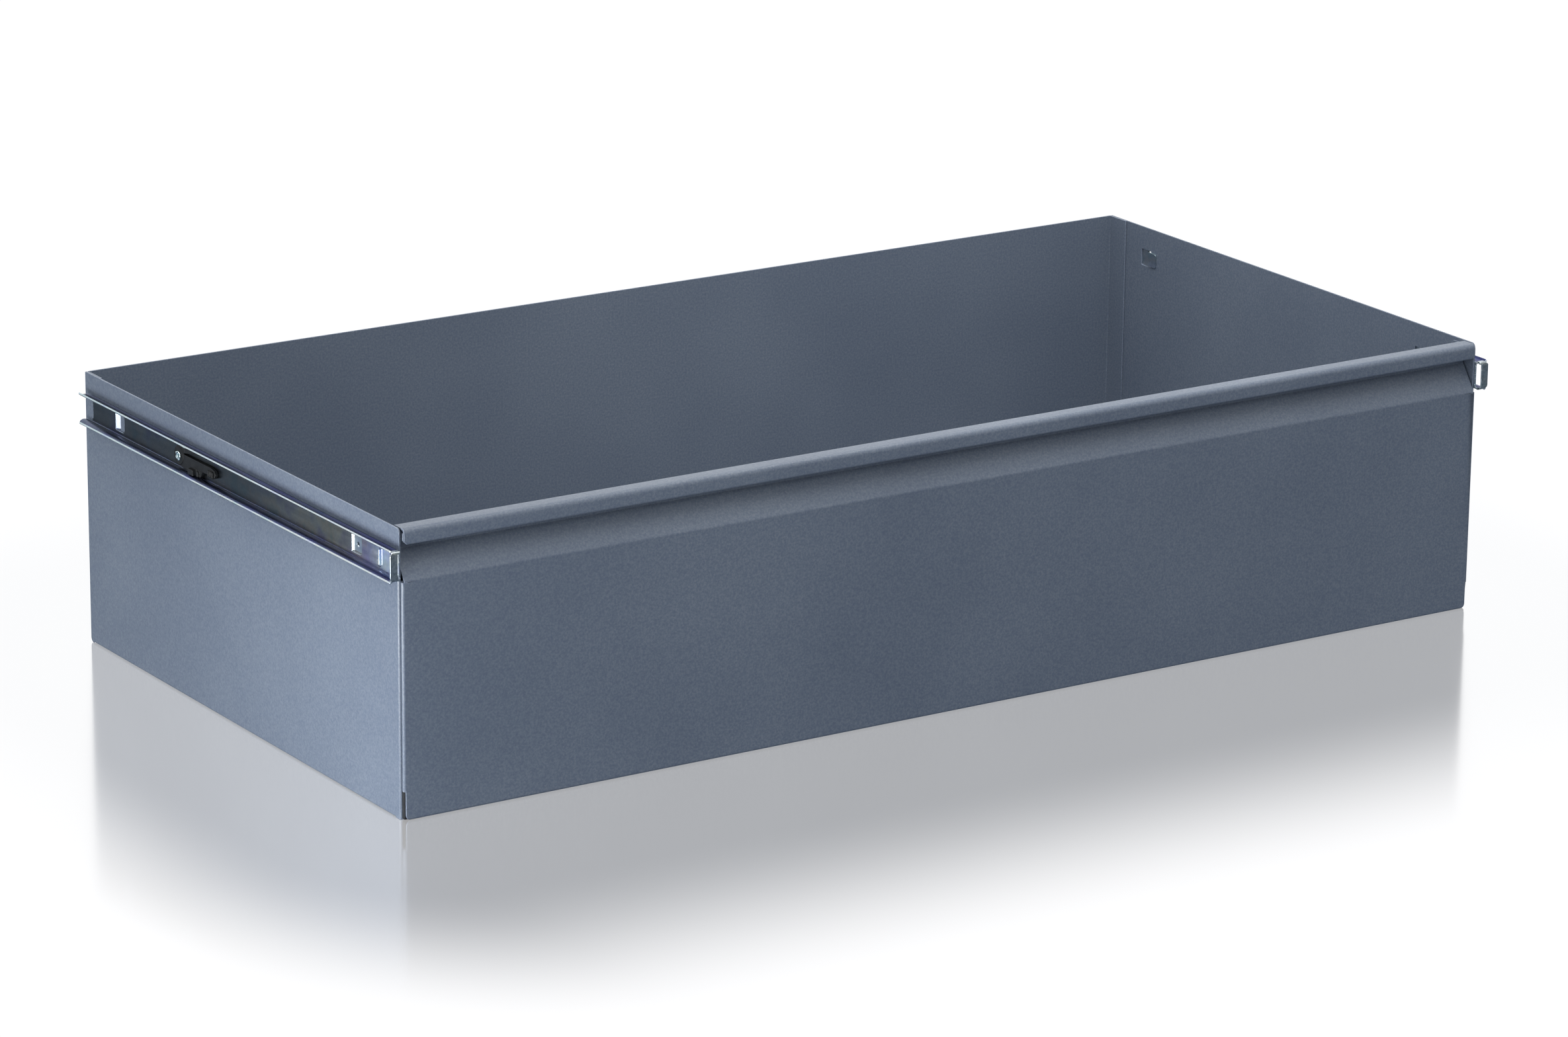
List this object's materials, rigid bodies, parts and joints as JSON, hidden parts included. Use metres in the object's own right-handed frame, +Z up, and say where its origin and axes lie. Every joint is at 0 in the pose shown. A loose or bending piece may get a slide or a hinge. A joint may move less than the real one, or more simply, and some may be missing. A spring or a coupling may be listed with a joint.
{
  "type": "cabinet drawer",
  "caption": "Folded sheet-steel cabinet drawer with a finger-recess front, a ball-bearing slide member hooked on each side and plastic release levers.",
  "frame": {"origin": "bottom centre of the whole part, slide members included: Z is zero at the bottom flanges, X and Y are zero midway", "axes": "+X to the right and +Y to the back of the cabinet, seen by a user who faces the drawer, +Z up; the drawer pulls out along -Y"},
  "size_m": [0.9124, 0.4516, 0.2],
  "materials": {
    "paint": "satin powder coat, grey blue",
    "zinc": "bright zinc plate",
    "lever_plastic": "moulded, black",
    "rivet_steel": "zinc plate",
    "plug_plastic": "moulded, black"
  },
  "bodies": {
    "drawer": {"left_side_panel": "paint", "right_side_panel": "paint", "back_panel": "paint", "bottom_panel": "paint", "front_panel": "paint", "front_inner_panel": "paint", "left_floor_stiffener": "paint", "right_floor_stiffener": "paint", "left_slide_rail": "zinc", "right_slide_rail": "zinc", "left_lever_rivet": "rivet_steel", "right_lever_rivet": "rivet_steel", "left_corner_plug": "plug_plastic", "right_corner_plug": "plug_plastic"},
    "left_lever": {"left_release_lever": "lever_plastic", "left_lever_spring": "lever_plastic"},
    "right_lever": {"right_release_lever": "lever_plastic", "right_lever_spring": "lever_plastic"}
  },
  "joints": [
    {"name": "left_lever_pivot", "type": "hinge", "parent": "drawer", "child": "left_lever", "pos_m": [-0.4497, 0.077, 0.1759], "axis": [-1, 0, 0], "range_deg": [0, 6], "stiffness_Nm_per_rad": 0.5, "springref_deg": -5.73, "deforming": ["left_lever_spring"]},
    {"name": "right_lever_pivot", "type": "hinge", "parent": "drawer", "child": "right_lever", "pos_m": [0.4497, 0.077, 0.1759], "axis": [-1, 0, 0], "range_deg": [0, 6], "stiffness_Nm_per_rad": 0.5, "springref_deg": -5.73, "deforming": ["right_lever_spring"]}
  ]
}
